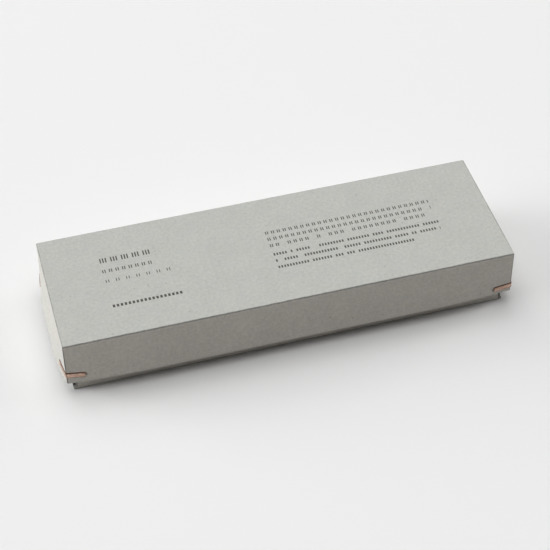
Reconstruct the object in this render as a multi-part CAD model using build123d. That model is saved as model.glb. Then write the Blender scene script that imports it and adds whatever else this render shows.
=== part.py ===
from build123d import *
import os

# A brass pen case in its stapled board box.
#
# The box is a tray and a lift-off lid, each folded from one blank of greyboard. A flat wire
# staple closes every corner: it wraps round the outside, pierces both walls and is clinched
# inside. The lid's walls spring outwards between the staples, so their lower edges are bowed.
# The brass case lies loose in the tray. Its lid closes over a stepped rim and turns on two
# three-knuckle hinges, and a bent plate divides the inside lengthwise.
#
# Sizes are in millimetres. The origin is in the middle of the underside, with +X along the
# box, +Y towards the case's hinges and +Z up.

# Brass case
CASE_LENGTH = 183.0
CASE_WIDTH = 42.0
CASE_BODY_HEIGHT = 14.5  # from the underside to the ledge that the lid closes on
CASE_LID_HEIGHT = 5.5
BRASS = 0.7  # sheet thickness
CASE_CORNER_RADIUS = 6.0  # seen from above
CASE_EDGE_RADIUS = 1.5  # along the bottom and the top
RIM_HEIGHT = 2.5  # how far the body's stepped rim reaches into the lid
RIM_CLEARANCE = 0.2

# Lip on the front of the case's lid
THUMB_LIP_LENGTH = 20.0
THUMB_LIP_HEIGHT = 2.6
THUMB_LIP_REACH = 1.7
THUMB_LIP_THICKNESS = 0.5
THUMB_LIP_RAISE = 0.4  # over the parting line
THUMB_LIP_CORNER_RADIUS = 1.1

# Hinges of the brass case
HINGE_SPACING = 110.0
KNUCKLE_LENGTH = 5.0
KNUCKLE_GAP = 0.15
KNUCKLE_RADIUS = 1.2
PIVOT_CLEARANCE = 0.1  # between the knuckles and the case's back wall
LEAF_THICKNESS = 0.5
LOWER_LEAF_HEIGHT = 6.0
UPPER_LEAF_HEIGHT = 3.6
LEAF_CORNER_RADIUS = 0.8
NOTCH_CLEARANCE = 0.25  # between a leaf's notch and the knuckle in it
PIN_RADIUS = 0.6
PIN_CLEARANCE = 0.04
PIN_HEAD_RADIUS = 0.9
PIN_HEAD_THICKNESS = 0.3

# Divider along the inside of the brass case
NARROW_LANE = 13.1  # clear width between the plate and the case's back wall
DIVIDER_FLANGE = 8.0
DIVIDER_BEND_RADIUS = 0.5
DIVIDER_CLEARANCE = 0.1
DIVIDER_BELOW_RIM = 0.5

# Board box
BOARD = 1.5  # thickness of the greyboard
END_ROOM = 4.5  # between the brass case and each end of the tray
FRONT_ROOM = 7.5
SWING_CLEARANCE = 0.7  # behind the case's lid when it stands open
HEAD_ROOM = 7.0  # from the closed case up to the tray's rim
LID_GAP = 1.0  # between the tray's walls and the lid's, at the corners
LID_DEPTH = 22.6  # height of the lid's walls, with the top panel
FOLD_RADIUS = 0.5
CORNER_RADIUS = 0.5  # of the upright corners, where two walls meet
LONG_BOW = 1.8  # how far the lower edge of a long lid wall springs out
LONG_BOW_RUN = 38.0  # distance from the corner over which it does so
END_BOW = 2.5
END_BOW_RUN = 18.0
LID_SEAM = 0.25  # open slit between two lid walls
TRAY_SEAM = 0.3
TRAY_SEAM_FOOT = 1.9  # the tray's slits open up towards the fold
TRAY_SEAM_FOOT_HEIGHT = 5.0
TRAY_SEAM_TAPER_END = 8.5
SEAM_END = 0.7  # board left whole beyond the end of a slit

# Corner staples
WIRE_WIDTH = 2.3
WIRE_THICKNESS = 0.5
WIRE_SINK = 0.25  # how deep the wire is pressed into the board
WIRE_BEND_RADIUS = 0.35
WIRE_DENT = 0.4  # width of the dent in the board, round the pressed-in wire
LID_CROWN = 8.0  # from the corner to the leg, along each wall
TRAY_CROWN = 7.0
CLINCH_LENGTH = 3.6
TRAY_STAPLE_DROP = 8.0  # from the tray's rim to the middle of the wire
# Each lid staple by corner: its height over the wall's lower edge, and its tilt in degrees.
LID_STAPLES = {
    "front_left": (5.2, -9.0),
    "front_right": (3.4, 4.0),
    "back_left": (4.2, 3.0),
    "back_right": (4.6, -3.0),
}
# Each tray staple by corner: its tilt in degrees.
TRAY_STAPLES = {
    "front_left": 2.0,
    "front_right": -3.0,
    "back_left": -1.5,
    "back_right": 2.5,
}

# Places that follow from the sizes
CORNERS = {
    "front_left": (-1, -1),
    "front_right": (1, -1),
    "back_left": (-1, 1),
    "back_right": (1, 1),
}
CASE_HEIGHT = CASE_BODY_HEIGHT + CASE_LID_HEIGHT
RIM_INSET = BRASS + RIM_CLEARANCE
PIVOT_OFFSET = KNUCKLE_RADIUS + PIVOT_CLEARANCE
BACK_ROOM = PIVOT_OFFSET + CASE_LID_HEIGHT + SWING_CLEARANCE
TRAY_LENGTH = CASE_LENGTH + 2 * (END_ROOM + BOARD)
TRAY_WIDTH = CASE_WIDTH + FRONT_ROOM + BACK_ROOM + 2 * BOARD
TRAY_HEIGHT = BOARD + CASE_HEIGHT + HEAD_ROOM
LID_LENGTH = TRAY_LENGTH + 2 * (LID_GAP + BOARD)
LID_WIDTH = TRAY_WIDTH + 2 * (LID_GAP + BOARD)
LID_TOP = TRAY_HEIGHT + BOARD
LID_BOTTOM = LID_TOP - LID_DEPTH
CASE_Y = (FRONT_ROOM - BACK_ROOM) / 2
CASE_FRONT = CASE_Y - CASE_WIDTH / 2
CASE_BACK = CASE_Y + CASE_WIDTH / 2
CASE_FLOOR = BOARD
PARTING = CASE_FLOOR + CASE_BODY_HEIGHT
CASE_TOP = PARTING + CASE_LID_HEIGHT
PIVOT_Y = CASE_BACK + PIVOT_OFFSET
HINGE_LENGTH = 3 * KNUCKLE_LENGTH + 2 * KNUCKLE_GAP
NOTCH_HEIGHT = KNUCKLE_RADIUS + NOTCH_CLEARANCE
WIRE_PROUD = WIRE_THICKNESS - WIRE_SINK
CUT_MARGIN = 1.0  # how far a cutting shape runs past what it cuts


def round_edges_at(solid, height, radius):
    """Round every edge that lies flat at one height."""
    tolerance = 0.001
    edges = solid.edges().filter_by_position(Axis.Z, height - tolerance, height + tolerance)
    return fillet(edges, radius)


def case_block(inset, low, high):
    """The brass case's outline, taken in by inset, as a block between two heights."""
    outline = RectangleRounded(
        CASE_LENGTH - 2 * inset, CASE_WIDTH - 2 * inset, CASE_CORNER_RADIUS - inset
    )
    return extrude(Pos(0, CASE_Y, low) * outline, amount=high - low)


# Brass case


def make_case_body():
    """A drawn brass tray whose wall steps in and rises as a rim for the lid."""
    outside = round_edges_at(case_block(0, CASE_FLOOR, PARTING), CASE_FLOOR, CASE_EDGE_RADIUS)
    rim = case_block(RIM_INSET, PARTING - BRASS, PARTING + RIM_HEIGHT)
    inner_floor = CASE_FLOOR + BRASS
    cavity = case_block(BRASS, inner_floor, PARTING - BRASS)
    cavity = round_edges_at(cavity, inner_floor, CASE_EDGE_RADIUS - BRASS)
    mouth = case_block(RIM_INSET + BRASS, PARTING - 2 * BRASS, PARTING + RIM_HEIGHT + CUT_MARGIN)
    return outside + rim - cavity - mouth


def make_case_lid():
    """A shallow brass cap that closes over the body's rim."""
    outside = round_edges_at(case_block(0, PARTING, CASE_TOP), CASE_TOP, CASE_EDGE_RADIUS)
    inner_top = CASE_TOP - BRASS
    cavity = case_block(BRASS, PARTING - CUT_MARGIN, inner_top)
    cavity = round_edges_at(cavity, inner_top, CASE_EDGE_RADIUS - BRASS)
    return outside - cavity


def make_thumb_lip():
    """A bent strip on the lid's front wall, for the thumb that opens it."""
    low = PARTING + THUMB_LIP_RAISE
    profile = Polyline(
        (0, CASE_FRONT, low),
        (0, CASE_FRONT - THUMB_LIP_REACH, low),
        (0, CASE_FRONT - THUMB_LIP_REACH, low + THUMB_LIP_THICKNESS),
        (0, CASE_FRONT - THUMB_LIP_THICKNESS, low + THUMB_LIP_THICKNESS),
        (0, CASE_FRONT - THUMB_LIP_THICKNESS, low + THUMB_LIP_HEIGHT),
        (0, CASE_FRONT, low + THUMB_LIP_HEIGHT),
        close=True,
    )
    strip = extrude(make_face(profile), amount=THUMB_LIP_LENGTH / 2, dir=(1, 0, 0), both=True)
    tips = strip.edges().filter_by(Axis.Z).group_by(Axis.Y)[0]
    return fillet(tips, THUMB_LIP_CORNER_RADIUS)


def make_divider():
    """A bent plate along the case's body, with its flange soldered to the floor."""
    floor = CASE_FLOOR + BRASS
    top = PARTING - BRASS - DIVIDER_BELOW_RIM
    front = CASE_BACK - BRASS - NARROW_LANE - BRASS
    flange_end = front + BRASS + DIVIDER_FLANGE
    profile = Polyline(
        (0, front, floor),
        (0, flange_end, floor),
        (0, flange_end, floor + BRASS),
        (0, front + BRASS, floor + BRASS),
        (0, front + BRASS, top),
        (0, front, top),
        close=True,
    )
    plate = extrude(make_face(profile), amount=CASE_LENGTH / 2, dir=(1, 0, 0), both=True)
    bend = plate.edges().filter_by(Axis.X)
    inner_bend = bend.sort_by_distance((0, front + BRASS, floor + BRASS))[0]
    plate = fillet(inner_bend, DIVIDER_BEND_RADIUS)
    bend = plate.edges().filter_by(Axis.X)
    outer_bend = bend.sort_by_distance((0, front, floor))[0]
    plate = fillet(outer_bend, DIVIDER_BEND_RADIUS + BRASS)
    fit = case_block(BRASS + DIVIDER_CLEARANCE, floor, PARTING)
    fit = round_edges_at(fit, floor, CASE_EDGE_RADIUS - BRASS)
    return plate & fit


# Hinges


def knuckle(x, first, last, radius):
    """A cylinder on the pivot line of the hinge at x, between two distances from its middle."""
    turned = Rot(0, 90, 0) * Cylinder(radius, last - first)
    return Pos(x + (first + last) / 2, PIVOT_Y, PARTING) * turned


def leaf_plate(x, low, high, far):
    """A flat leaf on the case's back wall, with its two corners at the height far rounded."""
    plate = Box(HINGE_LENGTH, LEAF_THICKNESS, high - low)
    plate = Pos(x, CASE_BACK + LEAF_THICKNESS / 2, (low + high) / 2) * plate
    upright = plate.edges().filter_by(Axis.Y)
    tolerance = 0.001
    corners = upright.filter_by_position(Axis.Z, far - tolerance, far + tolerance)
    return fillet(corners, LEAF_CORNER_RADIUS)


def notch(x, first, last):
    """Room in a leaf for the other leaf's knuckle, between two distances from its middle."""
    room = Box(last - first, 2 * LEAF_THICKNESS, 2 * NOTCH_HEIGHT)
    return Pos(x + (first + last) / 2, CASE_BACK + LEAF_THICKNESS, PARTING) * room


def make_lower_leaf(x):
    """The leaf on the case's body, with the two outer knuckles."""
    middle = KNUCKLE_LENGTH / 2 + KNUCKLE_GAP
    outer = HINGE_LENGTH / 2
    leaf = leaf_plate(x, PARTING - LOWER_LEAF_HEIGHT, PARTING, PARTING - LOWER_LEAF_HEIGHT)
    leaf += knuckle(x, -outer, -middle, KNUCKLE_RADIUS)
    leaf += knuckle(x, middle, outer, KNUCKLE_RADIUS)
    leaf -= notch(x, -middle, middle)
    return leaf - knuckle(x, -outer - CUT_MARGIN, outer + CUT_MARGIN, PIN_RADIUS + PIN_CLEARANCE)


def make_upper_leaf(x):
    """The leaf on the case's lid, with the middle knuckle."""
    middle = KNUCKLE_LENGTH / 2
    outer = HINGE_LENGTH / 2
    leaf = leaf_plate(x, PARTING, PARTING + UPPER_LEAF_HEIGHT, PARTING + UPPER_LEAF_HEIGHT)
    leaf += knuckle(x, -middle, middle, KNUCKLE_RADIUS)
    leaf -= notch(x, -outer - CUT_MARGIN, -middle)
    leaf -= notch(x, middle, outer + CUT_MARGIN)
    return leaf - knuckle(x, -outer, outer, PIN_RADIUS + PIN_CLEARANCE)


def make_hinge_pin(x):
    """A pin with a head riveted over at each end."""
    end = HINGE_LENGTH / 2
    pin = knuckle(x, -end, end, PIN_RADIUS)
    pin += knuckle(x, -end - PIN_HEAD_THICKNESS, -end, PIN_HEAD_RADIUS)
    pin += knuckle(x, end, end + PIN_HEAD_THICKNESS, PIN_HEAD_RADIUS)
    return pin


# Board box


def lid_outline(z, inset):
    """The lid's outline at one height, taken in by inset, with the bow that it has there."""
    share = (LID_TOP - z) / LID_DEPTH
    long_side = (LID_LENGTH, LID_WIDTH, LONG_BOW, LONG_BOW_RUN)
    end_side = (LID_WIDTH, LID_LENGTH, END_BOW, END_BOW_RUN)
    edges = []
    for number, (side, across, bow, run) in enumerate((long_side, end_side) * 2):
        half = side / 2
        face = inset - across / 2
        start = (inset - half, face)
        end = (half - inset, face)
        bowed_from = (run - half, face - bow * share)
        bowed_to = (half - run, face - bow * share)
        if share > 0:
            wall = [
                TangentArc([bowed_from, start], tangent=(-1, 0)),
                Line(bowed_from, bowed_to),
                TangentArc([bowed_to, end], tangent=(1, 0)),
            ]
        else:
            wall = [Line(start, bowed_from), Line(bowed_from, bowed_to), Line(bowed_to, end)]
        edges += [Rot(0, 0, 90 * number) * edge for edge in wall]
    return Pos(0, 0, z) * make_face(edges)


def lid_form(inset, low, high):
    """A solid that follows the lid's bowed walls between two heights, taken in by inset."""
    return loft([lid_outline(low, inset), lid_outline(high, inset)], ruled=True)


def tray_form(inset, low, high):
    """A solid that follows the tray's straight walls between two heights, taken in by inset."""
    outline = Rectangle(TRAY_LENGTH - 2 * inset, TRAY_WIDTH - 2 * inset)
    return extrude(Pos(0, 0, low) * outline, amount=high - low)


def rounded_corners(solid, length, width):
    """Round the four upright corners of a box's form."""
    edges = [
        solid.edges().sort_by_distance((sx * length / 2, sy * width / 2, LID_TOP / 2))[0]
        for sx, sy in CORNERS.values()
    ]
    return fillet(edges, CORNER_RADIUS)


def corner_slits(length, width, profile):
    """Cuts along the four corners' diagonals; profile lists (half width, height) up one side."""
    slits = []
    outline = profile + [(-half, z) for half, z in reversed(profile)]
    for sx, sy in CORNERS.values():
        x = sx * (length / 2 - BOARD)
        y = sy * (width / 2 - BOARD)
        points = [(x - sy * half, y + sx * half, z) for half, z in outline]
        face = make_face(Polyline(points, close=True))
        slits.append(extrude(face, amount=3 * BOARD, dir=(sx, sy, 0)))
    return slits


def wall_shells(form, low, high):
    """Where a staple's crown, its legs and its clinched ends lie in a box's walls."""
    outside = form(-WIRE_PROUD, low, high)
    inside = form(BOARD + WIRE_PROUD, low, high)
    crown = outside - form(WIRE_SINK, low, high)
    legs = outside - inside
    clinch = form(BOARD - WIRE_SINK, low, high) - inside
    return crown, legs, clinch


def make_corner_staple(shells, corner, length, width, crown, z, tilt):
    """A flat wire round one corner, clinched inside both walls, and the dent that it sits in."""
    sx, sy = corner
    x = sx * length / 2
    y = sy * width / 2
    depth = 4 * BOARD

    def along_both_walls(near, far, height):
        middle = (near + far) / 2
        on_long = Pos(x - sx * middle, y, z) * Box(far - near, depth, height)
        on_end = Pos(x, y - sy * middle, z) * Box(depth, far - near, height)
        return (on_long + on_end).rotate(Axis((x, y, z), (sx, sy, 0)), tilt)

    crown_shell, leg_shell, clinch_shell = shells
    staple = along_both_walls(-depth / 2, crown, WIRE_WIDTH) & crown_shell
    staple += along_both_walls(crown - WIRE_THICKNESS, crown, WIRE_WIDTH) & leg_shell
    staple += along_both_walls(crown - CLINCH_LENGTH, crown, WIRE_WIDTH) & clinch_shell
    outer_corner = (x + sx * WIRE_PROUD, y + sy * WIRE_PROUD, z)
    bend = staple.edges().filter_by(lambda edge: edge.length < 2 * WIRE_WIDTH)
    staple = fillet(bend.sort_by_distance(outer_corner)[0], WIRE_BEND_RADIUS)
    dent_width = WIRE_WIDTH + 2 * WIRE_DENT
    dent = along_both_walls(-depth / 2, crown + WIRE_DENT, dent_width) & crown_shell
    return staple, dent


def make_lid_staples():
    """The four staples of the box lid and their dents, by corner."""
    shells = wall_shells(lid_form, LID_BOTTOM, LID_TOP - BOARD)
    staples = {}
    for corner, (height, tilt) in LID_STAPLES.items():
        z = LID_BOTTOM + height
        staples[corner] = make_corner_staple(
            shells, CORNERS[corner], LID_LENGTH, LID_WIDTH, LID_CROWN, z, tilt
        )
    return staples


def make_tray_staples():
    """The four staples of the tray and their dents, by corner."""
    shells = wall_shells(tray_form, BOARD, TRAY_HEIGHT)
    z = TRAY_HEIGHT - TRAY_STAPLE_DROP
    staples = {}
    for corner, tilt in TRAY_STAPLES.items():
        staples[corner] = make_corner_staple(
            shells, CORNERS[corner], TRAY_LENGTH, TRAY_WIDTH, TRAY_CROWN, z, tilt
        )
    return staples


def make_box_lid(staple_cuts):
    """The lid's folded blank, slit at the corners, dented and pierced by its staples."""
    outside = rounded_corners(lid_form(0, LID_BOTTOM, LID_TOP), LID_LENGTH, LID_WIDTH)
    outside = round_edges_at(outside, LID_TOP, FOLD_RADIUS)
    inside = lid_form(BOARD, LID_BOTTOM - CUT_MARGIN, LID_TOP - BOARD)
    half = LID_SEAM / 2
    profile = [(half, LID_BOTTOM - CUT_MARGIN), (half, LID_TOP - SEAM_END)]
    return outside - inside - corner_slits(LID_LENGTH, LID_WIDTH, profile) - staple_cuts


def make_box_tray(staple_cuts):
    """The tray's folded blank, with slits that widen into a hole at each fold."""
    outside = rounded_corners(tray_form(0, 0, TRAY_HEIGHT), TRAY_LENGTH, TRAY_WIDTH)
    outside = round_edges_at(outside, 0, FOLD_RADIUS)
    inside = tray_form(BOARD, BOARD, TRAY_HEIGHT + CUT_MARGIN)
    half = TRAY_SEAM / 2
    foot = TRAY_SEAM_FOOT / 2
    profile = [
        (foot, SEAM_END),
        (foot, TRAY_SEAM_FOOT_HEIGHT),
        (half, TRAY_SEAM_TAPER_END),
        (half, TRAY_HEIGHT + CUT_MARGIN),
    ]
    return outside - inside - corner_slits(TRAY_LENGTH, TRAY_WIDTH, profile) - staple_cuts


def make_nodes():
    """Every piece by its node's name."""
    lid_staples = make_lid_staples()
    tray_staples = make_tray_staples()
    lid_cuts = [solid for staple_and_dent in lid_staples.values() for solid in staple_and_dent]
    tray_cuts = [solid for staple_and_dent in tray_staples.values() for solid in staple_and_dent]
    nodes = {
        "box_lid": make_box_lid(lid_cuts),
        "box_tray": make_box_tray(tray_cuts),
        "case_body": make_case_body(),
        "case_lid": make_case_lid(),
        "case_divider": make_divider(),
        "case_thumb_lip": make_thumb_lip(),
    }
    for corner in CORNERS:
        nodes["lid_staple_" + corner] = lid_staples[corner][0]
        nodes["tray_staple_" + corner] = tray_staples[corner][0]
    for side, x in (("left", -HINGE_SPACING / 2), ("right", HINGE_SPACING / 2)):
        nodes["hinge_lower_leaf_" + side] = make_lower_leaf(x)
        nodes["hinge_upper_leaf_" + side] = make_upper_leaf(x)
        nodes["hinge_pin_" + side] = make_hinge_pin(x)
    return nodes


os.makedirs("parts", exist_ok=True)
for name, node in make_nodes().items():
    export_step(node, "parts/" + name + ".step")
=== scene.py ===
import bpy
import math
from collections import namedtuple
from mathutils import Matrix, Vector


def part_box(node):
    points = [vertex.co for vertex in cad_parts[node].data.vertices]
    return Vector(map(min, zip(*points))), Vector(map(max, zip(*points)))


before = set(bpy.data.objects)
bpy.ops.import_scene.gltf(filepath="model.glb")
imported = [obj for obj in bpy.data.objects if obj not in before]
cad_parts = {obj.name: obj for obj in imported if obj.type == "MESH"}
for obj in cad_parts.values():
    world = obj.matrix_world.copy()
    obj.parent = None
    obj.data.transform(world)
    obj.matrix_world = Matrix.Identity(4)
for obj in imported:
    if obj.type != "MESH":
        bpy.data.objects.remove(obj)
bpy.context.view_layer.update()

# A closed box of stapled greyboard with a brass pen case in it, on a pale studio floor.
# The CAD nodes are shown themselves. This script adds their materials, and the studio.
# Lengths are in metres, but in millimetres in the materials and in the camera's lens.

MM = 0.001

# Camera, as solved from the box's corners in the photograph
CAMERA_PLACE = Vector((-130.54, -494.27, 526.79)) * MM
CAMERA_AZIMUTH = math.radians(14.83)
CAMERA_ELEVATION = math.radians(45.12)
CAMERA_ROLL = math.radians(-0.94)
SENSOR_WIDTH = 36.0
PICTURE_WIDTH = 550  # pixels
FOCAL_LENGTH = 1624.95 / PICTURE_WIDTH * SENSOR_WIDTH

# Lights: azimuth and elevation in degrees, distance and diameter in metres, and watts
LIGHTS = {
    "window": (151, 26, 5.0, 10.8, 186.0),
    "window_low": (151, 10, 5.0, 3.0, 118.5),
    "window_side": (170, 16, 5.0, 4.0, 105.6),
    "back": (90, 60, 5.0, 4.0, 40.5),
    "fill": (5, 12, 5.0, 4.0, 153.9),
    "ceiling": (0, 90, 2.5, 2.6, 29.6),
}
SKY_STRENGTH = 0.50

# Floor and backdrop
FLOOR_HALF_WIDTH = 6.0
FLOOR_ROUGHNESS = 0.9
FLOOR_COLOUR = (0.872, 0.872, 0.872, 1.0)
FLOOR_BOUNCE_COLOUR = (0.83, 0.765, 0.73, 1.0)
FLOOR_FADE = (450.0, 1300.0)  # where the floor runs into the backdrop's colour
BACKDROP_COLOUR = (0.865, 0.865, 0.865, 1.0)
BACKDROP_STRENGTH = 1.0

# Edges of the board box: half its length and width from fold to fold, the height of the folded
# edge, and the height of the walls' cut rim
LID_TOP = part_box("box_lid")[1][2] / MM
Edges = namedtuple("Edges", "half_length half_width fold_height cut_height")
LID_EDGES = Edges(
    half_length=100.0,
    half_width=32.5,
    fold_height=LID_TOP - 0.25,
    cut_height=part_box("box_lid")[0][2] / MM,
)
TRAY_EDGES = Edges(
    half_length=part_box("box_tray")[1][0] / MM,
    half_width=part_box("box_tray")[1][1] / MM,
    fold_height=0.4,
    cut_height=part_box("box_tray")[1][2] / MM,
)
CORNERS = {
    "front_left": (-1, -1),
    "front_right": (1, -1),
    "back_left": (-1, 1),
    "back_right": (1, 1),
}
LID_STAPLE_TILTS = {"front_left": -9.0, "front_right": 4.0, "back_left": 3.0, "back_right": -3.0}

# Rows of plain upright strokes printed on the lid: start and end along X, middle across, height,
# pitch of the strokes, strokes in a group, strokes drawn in each group, thickness as a share of
# the pitch, and the share of groups without strokes
PRINTED_ROWS = (
    (-75.5, -52.6, 13.3, 2.9, 1.20, 4, 3, 0.50, 0.0),
    (-75.5, -52.3, 6.6, 2.0, 0.97, 3, 2, 0.48, 0.05),
    (-75.3, -43.9, 0.4, 1.7, 1.12, 4, 2, 0.34, 0.10),
    (-75.3, -44.1, -14.9, 1.6, 1.72, 1, 1, 0.60, 0.06),
    (-1.4, 75.2, 10.2, 1.9, 0.90, 3, 2, 0.52, 0.06),
    (-1.4, 74.7, 6.1, 1.9, 0.90, 3, 2, 0.52, 0.06),
    (-1.4, 71.6, 2.0, 1.9, 0.90, 3, 2, 0.52, 0.06),
    (-1.4, 75.0, -3.7, 1.5, 1.30, 1, 1, 0.56, 0.16),
    (-1.4, 74.6, -7.7, 1.5, 1.30, 1, 1, 0.56, 0.16),
    (-1.4, 60.9, -11.8, 1.5, 1.30, 1, 1, 0.56, 0.16),
)
PRINT_BLUR = 0.07
PRINT_DEPTH = 0.2
INK_COLOUR = (0.060, 0.056, 0.050, 1.0)

# Below, a pair says where a mask begins and where it is full, or the least and the most that
# noise makes of a value. Noise itself lies mostly within NOISE_SPAN.
NOISE_SPAN = (0.3, 0.7)

# Greyboard
BOARD_COOL = (0.496, 0.505, 0.478, 1.0)
BOARD_WARM = (0.514, 0.511, 0.478, 1.0)
BOARD_ROUGHNESS = (0.86, 0.97)
BOARD_SPECULAR = 0.25
BOARD_RELIEF = 0.05
CLOUD_SHADES = (0.98, 1.02)
MOTTLE_SHADES = (0.935, 1.065)
GRAIN_SHADES = (0.885, 1.115)
FIBRE_SHADES = (-0.14, 0.12)
FIBRE_STRETCH = (0.45, 4.5, 4.5)
FIBRE_LAYERS = ((0.35, 0.64, 0.72), (1.45, 0.65, 0.73), (2.55, 0.66, 0.74))
FLECK_RARITY = 0.55
FLECK_SIZES = (0.02, 0.11)
FLECK_DARKNESS = 0.30

# Folds, cuts and pierced spots in the board: painted shade along the folds, in the corner seams,
# in the tray's slits and in the lid staples' leg holes, and a painted lighter strip below the
# folds
LID_FOLD_PAINTED_SHADE = 0.55
TRAY_FOLD_PAINTED_SHADE = 0.25
CREASE = (0.36, 0.12)
CREASE_SIDES = (-0.55, -0.35)
CREASE_WANDER = (-0.06, 0.06)
CREASE_PATCHES = (0.7, 1.0)
PAINTED_LIGHT_STRIP = (0.5, 0.1)
PAINTED_LIGHT_STRIP_DROP = 0.9
PAINTED_LIGHT_STRIP_LIGHTNESS = 0.05
SEAM = (0.55, 0.25)
SEAM_SHADE_SHARE = 0.9  # of the fold's darkness
SLIT_SKIN = (0.02, 0.15)
SLIT_DEPTH = 1.45
SLIT_REACH = 3.2
SLIT_FOOT = (0.5, 0.9)
SLIT_END = (9.0, 6.0)
SLIT_PAINTED_SHADE = 0.65
CUT_EDGE = (0.12, 0.04)
CUT_WALL_DEPTH = 2.0
PLIES_PER_MM = 3.2
PLY_WAVES_PER_MM = 0.25
PLY_DARKNESS = (0.10, 0.32)
LEG_HOLE_SHADE_SPOT = (1.5, 0.5)
LEG_INSET = 0.15
LEG_HOLE_PAINTED_SHADE = 0.6

# Copper-coated wire, with painted shade along its upper and lower edges
COPPER_BRIGHT = (0.63, 0.44, 0.355, 1.0)
COPPER_DULL = (0.29, 0.19, 0.14, 1.0)
COPPER_PAINTED_SHADE = (0.13, 0.080, 0.058, 1.0)
COPPER_ROUGHNESS = (0.34, 0.60)
WIRE_UPPER_SHADE_BAND = (0.72, 0.98)
WIRE_LOWER_SHADE_BAND = (-0.85, -1.10)
WIRE_ROUNDING = 0.25
WIRE_RELIEF = 0.05
DIE_LINES_ALONG = 0.10
DIE_LINES_ACROSS = 1.25

# Brass sheet
BRASS_BRIGHT = (0.80, 0.63, 0.33, 1.0)
BRASS_BROWN = (0.50, 0.355, 0.17, 1.0)
BRASS_SCRATCH = (0.90, 0.77, 0.48, 1.0)
BRASS_ROUGHNESS = (0.27, 0.42)
BRASS_RELIEF = 0.004
BRUSH_STRETCH = (0.02, 2.2, 2.2)
SCRATCH_STRETCH = (0.04, 3.0, 3.0)
SCRATCH_LAYERS = ((0.6, 0.715, 0.735), (1.9, 0.725, 0.745), (2.7, 0.72, 0.74))


# Node building


class Tree:
    """Short calls that build one node tree."""

    def __init__(self, tree):
        self.tree = tree

    def node(self, kind, inputs=(), **settings):
        """A node with its settings, and with values or links on its inputs by name or number."""
        made = self.tree.nodes.new(kind)
        for name, value in settings.items():
            setattr(made, name, value)
        for key, value in dict(inputs).items():
            if isinstance(value, bpy.types.NodeSocket):
                self.tree.links.new(value, made.inputs[key])
            else:
                made.inputs[key].default_value = value
        return made

    def math(self, operation, first, second=0.0, third=0.0, clamp=False):
        """The result of one sum on up to three values."""
        inputs = {0: first, 1: second, 2: third}
        made = self.node("ShaderNodeMath", inputs, operation=operation, use_clamp=clamp)
        return made.outputs[0]

    def ramp(self, value, low, high, to_low=0.0, to_high=1.0):
        """Value mapped smoothly from low..high to to_low..to_high, and held outside them."""
        inputs = {"Value": value, 1: low, 2: high, 3: to_low, 4: to_high}
        made = self.node("ShaderNodeMapRange", inputs, interpolation_type="SMOOTHSTEP")
        return made.outputs[0]

    def shade(self, value, mask, change):
        """Value changed by a share of itself, as far as the mask goes."""
        return self.math("MULTIPLY", value, self.math("MULTIPLY_ADD", mask, change, 1.0))

    def vector(self, x, y, z=0.0):
        """A vector made of three values."""
        return self.node("ShaderNodeCombineXYZ", {0: x, 1: y, 2: z}).outputs[0]

    def noise(self, vector, scale, detail, roughness):
        """Cloudy noise, whose scale is its waves per unit of the vector."""
        inputs = {"Vector": vector, "Scale": scale, "Detail": detail, "Roughness": roughness}
        return self.node("ShaderNodeTexNoise", inputs, noise_dimensions="3D").outputs[0]

    def stretched(self, vector, scale, turn=0.0):
        """Coordinates scaled along each axis after a turn about Z."""
        turned = self.node("ShaderNodeMapping", {"Vector": vector, "Rotation": (0, 0, turn)})
        inputs = {0: turned.outputs[0], 1: scale}
        return self.node("ShaderNodeVectorMath", inputs, operation="MULTIPLY").outputs[0]

    def strands(self, vector, layers, stretch, **noise):
        """Mask of thin marks at several angles: a layer is a turn and two limits of noise."""
        marks = 0.0
        for turn, low, high in layers:
            strand = self.noise(self.stretched(vector, stretch, turn), **noise)
            marks = self.math("MAXIMUM", marks, self.ramp(strand, low, high))
        return marks

    def mix(self, factor, first, second, blend="MIX"):
        """The first colour mixed with the second one, as far as the factor goes."""
        inputs = {"Factor": factor, 6: first, 7: second}
        made = self.node("ShaderNodeMix", inputs, data_type="RGBA", blend_type=blend)
        return made.outputs[2]

    def millimetres(self):
        """The object's own coordinates in millimetres, as a vector and as X, Y and Z."""
        coordinates = self.node("ShaderNodeTexCoord").outputs["Object"]
        inputs = {0: coordinates, "Scale": 1 / MM}
        scaled = self.node("ShaderNodeVectorMath", inputs, operation="SCALE").outputs[0]
        parts = self.node("ShaderNodeSeparateXYZ", {0: scaled}).outputs
        return scaled, parts[0], parts[1], parts[2]


def new_material(name):
    """A new node material, with its tree and its shader."""
    material = bpy.data.materials.new(name)
    material.use_nodes = True
    tree = Tree(material.node_tree)
    shader = material.node_tree.nodes["Principled BSDF"]
    return material, tree, shader


def link(t, output, shader, name):
    """Link an output to one of a shader's inputs."""
    t.tree.links.new(output, shader.inputs[name])


# Print on the lid


def white_noise(t, cell, number):
    """A random value for each whole cell of a numbered row."""
    spot = t.vector(cell, number + 0.25)
    return t.node("ShaderNodeTexWhiteNoise", {"Vector": spot}).outputs["Value"]


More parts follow.
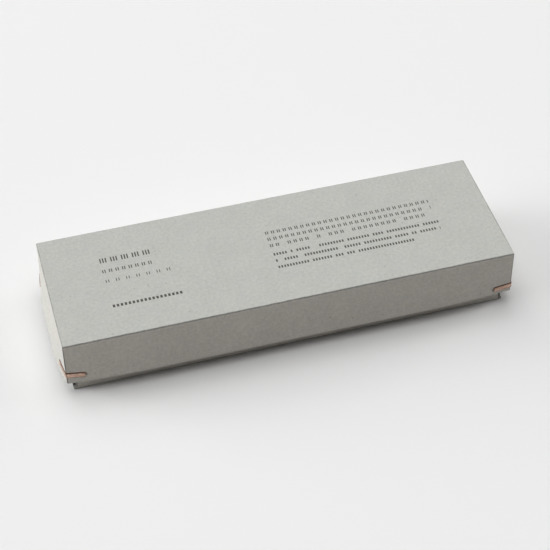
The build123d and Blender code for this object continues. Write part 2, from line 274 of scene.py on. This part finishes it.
def printed_row(t, x, y, row, number):
    """Mask of one printed row of plain upright strokes, with gaps between groups."""
    start, end, middle, height, pitch, group, drawn, thickness, skipped = row
    along = t.math("DIVIDE", t.math("SUBTRACT", x, start), pitch)
    cell = t.math("FLOOR", along)
    group_number = t.math("FLOOR", t.math("DIVIDE", t.math("ADD", cell, 0.5), group))
    stroke_in_group = t.math("SUBTRACT", cell, t.math("MULTIPLY", group_number, group))
    shown = t.math("GREATER_THAN", white_noise(t, group_number, number), skipped)
    shown = t.math("MULTIPLY", shown, t.math("LESS_THAN", stroke_in_group, drawn - 0.5))
    centred = t.math("ABSOLUTE", t.math("SUBTRACT", t.math("FRACT", along), 0.5))
    blur = PRINT_BLUR / pitch
    stroke = t.ramp(centred, thickness / 2 + blur, thickness / 2 - blur)
    across = t.math("ABSOLUTE", t.math("SUBTRACT", y, middle))
    band = t.ramp(across, height / 2 + PRINT_BLUR, height / 2 - PRINT_BLUR)
    inside = t.math("MULTIPLY", t.math("GREATER_THAN", x, start), t.math("LESS_THAN", x, end))
    return t.math("MULTIPLY", t.math("MULTIPLY", stroke, shown), t.math("MULTIPLY", band, inside))


def printed_marks(t, x, y, z):
    """Mask of all printed rows on the lid's top."""
    marks = 0.0
    for number, row in enumerate(PRINTED_ROWS):
        marks = t.math("ADD", marks, printed_row(t, x, y, row, float(number)))
    on_top = t.math("GREATER_THAN", z, LID_TOP - PRINT_DEPTH)
    return t.math("MULTIPLY", marks, on_top, clamp=True)


# Lid staples


def wire_slope(corner):
    """Rise of a tilted lid staple per millimetre along the long wall, from the corner."""
    sx, sy = CORNERS[corner]
    return sx * sy * math.sin(math.radians(LID_STAPLE_TILTS[corner])) / math.sqrt(2)


def middle_height(node):
    """Height halfway up a node, in millimetres."""
    low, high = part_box(node)
    return (low[2] + high[2]) / 2 / MM


def painted_leg_hole_shade(t, x, y, z):
    """Mask of painted shade in the small holes where the lid staples' legs pierce the board."""
    marks = 0.0
    for corner, (sx, sy) in CORNERS.items():
        low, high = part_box("lid_staple_" + corner)
        inner_x = (high[0] if sx < 0 else low[0]) / MM
        inner_y = (high[1] if sy < 0 else low[1]) / MM
        middle = middle_height("lid_staple_" + corner)
        rise = wire_slope(corner) * (LID_EDGES.half_length - abs(inner_x))
        on_long = (inner_x - LEG_INSET * sx, sy * LID_EDGES.half_width, middle + rise)
        on_end = (sx * LID_EDGES.half_length, inner_y - LEG_INSET * sy, middle - rise)
        for spot in (on_long, on_end):
            inputs = {0: t.vector(x, y, z), 1: spot}
            off = t.node("ShaderNodeVectorMath", inputs, operation="DISTANCE").outputs["Value"]
            marks = t.math("MAXIMUM", marks, t.ramp(off, *LEG_HOLE_SHADE_SPOT))
    return marks


# Greyboard


def painted_fold_shade(t, place, x, y, z, edges):
    """Mask of painted shade along a box's folds, and of a painted lighter strip below them."""
    past_end = t.math("SUBTRACT", t.math("ABSOLUTE", x), edges.half_length)
    past_side = t.math("SUBTRACT", t.math("ABSOLUTE", y), edges.half_width)
    on_fold = t.ramp(t.math("MAXIMUM", past_end, past_side), *CREASE_SIDES)
    wander = t.noise(place, scale=0.28, detail=3.0, roughness=0.6)
    middle = t.math("ADD", edges.fold_height, t.ramp(wander, *NOISE_SPAN, *CREASE_WANDER))
    off = t.math("ABSOLUTE", t.math("SUBTRACT", z, middle))
    patches = t.noise(place, scale=0.8, detail=3.0, roughness=0.6)
    patchy = t.ramp(patches, 0.3, 0.65, *CREASE_PATCHES)
    dark = t.math("MULTIPLY", t.math("MULTIPLY", t.ramp(off, *CREASE), on_fold), patchy)
    # A painted lighter strip a little below the fold's painted shade
    strip_middle = t.math("SUBTRACT", middle, PAINTED_LIGHT_STRIP_DROP)
    below = t.math("ABSOLUTE", t.math("SUBTRACT", z, strip_middle))
    return dark, t.math("MULTIPLY", t.ramp(below, *PAINTED_LIGHT_STRIP), on_fold)


def painted_seam_shade(t, x, y, z, edges):
    """Mask of painted shade in the thin line where two walls meet at each upright corner."""
    off_end = t.math("ABSOLUTE", t.math("SUBTRACT", t.math("ABSOLUTE", x), edges.half_length))
    off_side = t.math("ABSOLUTE", t.math("SUBTRACT", t.math("ABSOLUTE", y), edges.half_width))
    near = t.ramp(t.math("MAXIMUM", off_end, off_side), *SEAM)
    return t.math("MULTIPLY", near, t.math("LESS_THAN", z, edges.fold_height))


def painted_slit_shade(t, x, y, z, edges):
    """Mask of painted shade on the cut faces inside the slits at the upright corners, in the
    walls' thickness.
    """
    in_end = t.math("SUBTRACT", edges.half_length, t.math("ABSOLUTE", x))
    in_side = t.math("SUBTRACT", edges.half_width, t.math("ABSOLUTE", y))
    depth = t.math("MINIMUM", in_end, in_side)
    in_wall = t.math("LESS_THAN", depth, SLIT_DEPTH)
    cut = t.math("MULTIPLY", t.ramp(depth, *SLIT_SKIN), in_wall)
    corner = t.math("LESS_THAN", t.math("MAXIMUM", in_end, in_side), SLIT_REACH)
    low = t.math("MULTIPLY", t.ramp(z, *SLIT_FOOT), t.ramp(z, *SLIT_END))
    return t.math("MULTIPLY", t.math("MULTIPLY", cut, corner), low)


def cut_layers(t, x, y, z, edges):
    """Mask of the board's cut edges at the rim, and the plies that show in them."""
    off_rim = t.math("ABSOLUTE", t.math("SUBTRACT", z, edges.cut_height))
    on_edge = t.ramp(off_rim, *CUT_EDGE)
    end_wall = edges.half_length - CUT_WALL_DEPTH
    on_end = t.math("GREATER_THAN", t.math("ABSOLUTE", x), end_wall)
    across = t.node("ShaderNodeMix", {0: on_end, 2: y, 3: x}, data_type="FLOAT").outputs[0]
    lengthwise = t.node("ShaderNodeMix", {0: on_end, 2: x, 3: y}, data_type="FLOAT").outputs[0]
    spot = t.vector(
        t.math("MULTIPLY", across, PLIES_PER_MM),
        t.math("MULTIPLY", lengthwise, PLY_WAVES_PER_MM),
    )
    plies = t.noise(spot, scale=1.0, detail=3.0, roughness=0.6)
    return t.math("MULTIPLY", on_edge, t.ramp(plies, 0.35, 0.65, *PLY_DARKNESS))


def make_board_material(name, edges, fold_painted_shade, on_lid):
    """Solid greyboard: pressed recycled fibres, flecks and cut edges, with painted shade along
    folds, corner seams, slits and leg holes, and a painted lighter strip below the folds.
    """
    material, t, shader = new_material(name)
    place, x, y, z = t.millimetres()
    clouds = t.noise(place, scale=0.10, detail=3.0, roughness=0.55)
    mottle = t.noise(place, scale=0.7, detail=5.0, roughness=0.66)
    grain = t.noise(place, scale=4.0, detail=4.0, roughness=0.62)
    value = t.ramp(clouds, *NOISE_SPAN, *CLOUD_SHADES)
    value = t.math("MULTIPLY", value, t.ramp(mottle, *NOISE_SPAN, *MOTTLE_SHADES))
    value = t.math("MULTIPLY", value, t.ramp(grain, *NOISE_SPAN, *GRAIN_SHADES))

    # Single fibres, thin and short, lying at three angles, some darker and some lighter
    fibres = t.strands(place, FIBRE_LAYERS, FIBRE_STRETCH, scale=1.0, detail=2.0, roughness=0.45)
    kinds = t.noise(place, scale=0.6, detail=1.0, roughness=0.5)
    lightness = t.ramp(kinds, 0.45, 0.55, *FIBRE_SHADES)
    value = t.math("ADD", value, t.math("MULTIPLY", fibres, lightness))

    # Dark flecks of old print in the pulp
    cells = t.node("ShaderNodeTexVoronoi", {"Vector": place, "Scale": 0.30})
    chances = t.node("ShaderNodeSeparateColor", {0: cells.outputs["Color"]}).outputs
    rare = t.math("GREATER_THAN", chances[0], FLECK_RARITY)
    size = t.ramp(chances[1], 0.0, 1.0, *FLECK_SIZES)
    fleck = t.math("MULTIPLY", t.math("LESS_THAN", cells.outputs["Distance"], size), rare)
    value = t.shade(value, fleck, -FLECK_DARKNESS)

    # Folds, cuts and pierced spots: painted shade along the folds, in the corner seams, in the
    # tray's slits and in the lid staples' leg holes, and a painted lighter strip below the folds
    dark, light = painted_fold_shade(t, place, x, y, z, edges)
    value = t.shade(value, light, PAINTED_LIGHT_STRIP_LIGHTNESS)
    value = t.shade(value, dark, -fold_painted_shade)
    value = t.shade(value, painted_seam_shade(t, x, y, z, edges), -SEAM_SHADE_SHARE * fold_painted_shade)
    value = t.shade(value, cut_layers(t, x, y, z, edges), -1.0)
    if on_lid:
        value = t.shade(value, painted_leg_hole_shade(t, x, y, z), -LEG_HOLE_PAINTED_SHADE)
    else:
        value = t.shade(value, painted_slit_shade(t, x, y, z, edges), -SLIT_PAINTED_SHADE)

    tint = t.ramp(t.noise(place, scale=0.35, detail=3.0, roughness=0.6), *NOISE_SPAN)
    colour = t.mix(tint, BOARD_COOL, BOARD_WARM)
    grey = t.node("ShaderNodeCombineColor", {0: value, 1: value, 2: value}).outputs[0]
    colour = t.mix(1.0, colour, grey, "MULTIPLY")
    if on_lid:
        soaked = t.ramp(grain, 0.3, 0.6, 0.75, 1.0)
        colour = t.mix(t.math("MULTIPLY", printed_marks(t, x, y, z), soaked), colour, INK_COLOUR)
    link(t, colour, shader, "Base Color")
    link(t, t.ramp(mottle, *NOISE_SPAN, *BOARD_ROUGHNESS), shader, "Roughness")
    shader.inputs["Specular IOR Level"].default_value = BOARD_SPECULAR

    relief = t.math("ADD", t.math("MULTIPLY", grain, 0.5), t.math("MULTIPLY", mottle, 0.7))
    relief = t.math("ADD", relief, t.math("MULTIPLY", fibres, 0.35))
    relief = t.math("SUBTRACT", relief, dark)
    inputs = {"Height": relief, "Distance": BOARD_RELIEF * MM, "Strength": 0.6}
    link(t, t.node("ShaderNodeBump", inputs).outputs[0], shader, "Normal")
    return material


# Metals


def make_wire_material(name, slope, middle):
    """Copper-coated flat wire: die lines along it, rounded edges with painted shade along them,
    and dull patches.
    """
    material, t, shader = new_material(name)
    place, x, y, z = t.millimetres()
    on_long = t.math("SUBTRACT", LID_EDGES.half_length, t.math("ABSOLUTE", x))
    on_end = t.math("SUBTRACT", LID_EDGES.half_width, t.math("ABSOLUTE", y))
    run = t.math("SUBTRACT", on_long, on_end)
    level = t.math("SUBTRACT", z, t.math("MULTIPLY", run, slope))
    spot = t.vector(
        t.math("MULTIPLY", run, DIE_LINES_ALONG),
        t.math("MULTIPLY", level, DIE_LINES_ACROSS),
    )
    drawn = t.noise(spot, scale=1.0, detail=3.0, roughness=0.6)
    dull = t.noise(place, scale=0.8, detail=3.0, roughness=0.6)
    colour = t.mix(t.ramp(dull, 0.40, 0.70, 0.0, 0.6), COPPER_BRIGHT, COPPER_DULL)
    colour = t.mix(t.ramp(drawn, 0.48, 0.58, 0.0, 0.7), colour, COPPER_DULL)
    from_middle = t.math("SUBTRACT", level, middle)
    # Painted shade along the wire's upper and lower edges
    colour = t.mix(t.ramp(from_middle, *WIRE_UPPER_SHADE_BAND, 0.0, 0.85), colour, COPPER_PAINTED_SHADE)
    colour = t.mix(t.ramp(from_middle, *WIRE_LOWER_SHADE_BAND, 0.0, 0.6), colour, COPPER_PAINTED_SHADE)
    link(t, colour, shader, "Base Color")
    link(t, t.ramp(dull, 0.3, 0.75, *COPPER_ROUGHNESS), shader, "Roughness")
    shader.inputs["Metallic"].default_value = 1.0
    rounded = t.node("ShaderNodeBevel", {"Radius": WIRE_ROUNDING * MM}, samples=6).outputs[0]
    inputs = {"Height": drawn, "Distance": WIRE_RELIEF * MM, "Strength": 0.7, "Normal": rounded}
    link(t, t.node("ShaderNodeBump", inputs).outputs[0], shader, "Normal")
    return material


def make_brass_material():
    """Uncoated brass sheet: brushed along its length, with brown bloom and fine scratches."""
    material, t, shader = new_material("brass")
    place = t.millimetres()[0]
    strokes = t.stretched(place, BRUSH_STRETCH)
    brushed = t.noise(strokes, scale=1.0, detail=4.0, roughness=0.75)
    bloom = t.noise(place, scale=0.045, detail=4.0, roughness=0.55)
    spots = t.noise(place, scale=0.35, detail=4.0, roughness=0.65)
    scratch = t.strands(
        place, SCRATCH_LAYERS, SCRATCH_STRETCH, scale=0.5, detail=1.0, roughness=0.4
    )
    colour = t.mix(t.ramp(bloom, 0.45, 0.75, 0.0, 0.45), BRASS_BRIGHT, BRASS_BROWN)
    colour = t.mix(t.ramp(spots, 0.62, 0.76, 0.0, 0.45), colour, BRASS_BROWN)
    colour = t.mix(t.ramp(brushed, 0.35, 0.65, 0.0, 0.14), colour, BRASS_BROWN)
    colour = t.mix(t.math("MULTIPLY", scratch, 0.35), colour, BRASS_SCRATCH)
    link(t, colour, shader, "Base Color")
    roughness = t.ramp(bloom, 0.35, 0.75, *BRASS_ROUGHNESS)
    roughness = t.math("ADD", roughness, t.ramp(brushed, 0.35, 0.65, -0.05, 0.07))
    link(t, roughness, shader, "Roughness")
    shader.inputs["Metallic"].default_value = 1.0
    relief = t.math("SUBTRACT", t.math("MULTIPLY", brushed, 0.4), t.math("MULTIPLY", scratch, 0.5))
    inputs = {"Height": relief, "Distance": BRASS_RELIEF * MM, "Strength": 0.5}
    link(t, t.node("ShaderNodeBump", inputs).outputs[0], shader, "Normal")
    return material


def dress(nodes, material):
    """Give CAD nodes a material in every slot."""
    for name in nodes:
        for material_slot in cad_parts[name].material_slots:
            material_slot.material = material


# Studio


def seen_directly(t):
    """One for what the camera sees, also in reflections and through glass, and else zero."""
    rays = t.node("ShaderNodeLightPath").outputs
    seen = t.math("MAXIMUM", rays["Is Camera Ray"], rays["Is Glossy Ray"])
    return t.math("MAXIMUM", seen, rays["Is Transmission Ray"])


def make_floor():
    """A plain pale floor that runs into the backdrop's colour far from the box."""
    half = FLOOR_HALF_WIDTH
    mesh = bpy.data.meshes.new("floor")
    corners = [(-half, -half, 0), (half, -half, 0), (half, half, 0), (-half, half, 0)]
    mesh.from_pydata(corners, [], [(0, 1, 2, 3)])
    floor = bpy.data.objects.new("floor", mesh)
    bpy.context.scene.collection.objects.link(floor)
    material, t, shader = new_material("floor")
    link(t, t.mix(seen_directly(t), FLOOR_BOUNCE_COLOUR, FLOOR_COLOUR), shader, "Base Color")
    shader.inputs["Roughness"].default_value = FLOOR_ROUGHNESS
    shader.inputs["Specular IOR Level"].default_value = 0.0
    distance = t.node("ShaderNodeVectorMath", {0: t.millimetres()[0]}, operation="LENGTH")
    far = t.ramp(distance.outputs["Value"], *FLOOR_FADE)
    backdrop = t.node("ShaderNodeEmission", {0: BACKDROP_COLOUR, 1: BACKDROP_STRENGTH})
    far_and_seen = t.math("MULTIPLY", far, seen_directly(t))
    inputs = {0: far_and_seen, 1: shader.outputs[0], 2: backdrop.outputs[0]}
    mixed = t.node("ShaderNodeMixShader", inputs)
    t.tree.links.new(mixed.outputs[0], material.node_tree.nodes["Material Output"].inputs[0])
    mesh.materials.append(material)


def make_world():
    """A soft even sky, seen by the camera and by reflections as a pale backdrop."""
    world = bpy.data.worlds.new("studio")
    bpy.context.scene.world = world
    world.use_nodes = True
    t = Tree(world.node_tree)
    background = world.node_tree.nodes["Background"]
    background.inputs[1].default_value = SKY_STRENGTH
    backdrop = t.node("ShaderNodeBackground", {0: BACKDROP_COLOUR, 1: BACKDROP_STRENGTH})
    inputs = {0: seen_directly(t), 1: background.outputs[0], 2: backdrop.outputs[0]}
    mixed = t.node("ShaderNodeMixShader", inputs)
    output = world.node_tree.nodes["World Output"]
    world.node_tree.links.new(mixed.outputs[0], output.inputs[0])


def make_light(name, direction, distance, diameter, watts):
    """A round soft light that faces the box."""
    lamp = bpy.data.lights.new(name, "AREA")
    lamp.shape = "DISK"
    lamp.size = diameter
    lamp.energy = watts
    light = bpy.data.objects.new(name, lamp)
    bpy.context.scene.collection.objects.link(light)
    light.location = direction * distance
    light.rotation_euler = direction.to_track_quat("Z", "Y").to_euler()


def make_lights():
    """Soft windows low on the left, a low fill on the right, a back and a ceiling light."""
    for name, (azimuth, elevation, distance, diameter, watts) in LIGHTS.items():
        across, up = math.radians(azimuth), math.radians(elevation)
        direction = Vector((
            math.cos(across) * math.cos(up),
            math.sin(across) * math.cos(up),
            math.sin(up),
        ))
        make_light(name, direction, distance, diameter, watts)


def make_camera():
    """The camera of the photograph."""
    forward = Vector((
        math.sin(CAMERA_AZIMUTH) * math.cos(CAMERA_ELEVATION),
        math.cos(CAMERA_AZIMUTH) * math.cos(CAMERA_ELEVATION),
        -math.sin(CAMERA_ELEVATION),
    ))
    level = forward.cross(Vector((0, 0, 1))).normalized()
    above = level.cross(forward)
    right = level * math.cos(CAMERA_ROLL) + above * math.sin(CAMERA_ROLL)
    up = right.cross(forward)
    turned = Matrix((right, up, -forward)).transposed().to_4x4()
    camera_data = bpy.data.cameras.new("camera")
    camera_data.sensor_width = SENSOR_WIDTH
    camera_data.lens = FOCAL_LENGTH
    camera = bpy.data.objects.new("camera", camera_data)
    bpy.context.scene.collection.objects.link(camera)
    camera.matrix_world = Matrix.Translation(CAMERA_PLACE) @ turned
    bpy.context.scene.camera = camera


bpy.context.scene.view_settings.view_transform = "Standard"
make_floor()
make_world()
make_lights()
make_camera()

lid_board = make_board_material("greyboard_lid", LID_EDGES, LID_FOLD_PAINTED_SHADE, on_lid=True)
tray_board = make_board_material("greyboard_tray", TRAY_EDGES, TRAY_FOLD_PAINTED_SHADE, on_lid=False)
dress(["box_lid"], lid_board)
dress(["box_tray"], tray_board)
tray_wire = make_wire_material("copper_wire_tray", 0.0, middle_height("tray_staple_front_left"))
for corner in CORNERS:
    staple = "lid_staple_" + corner
    wire = make_wire_material("copper_wire_" + corner, wire_slope(corner), middle_height(staple))
    dress([staple], wire)
    dress(["tray_staple_" + corner], tray_wire)
brass_nodes = [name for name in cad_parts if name.startswith(("case_", "hinge_"))]
dress(brass_nodes, make_brass_material())
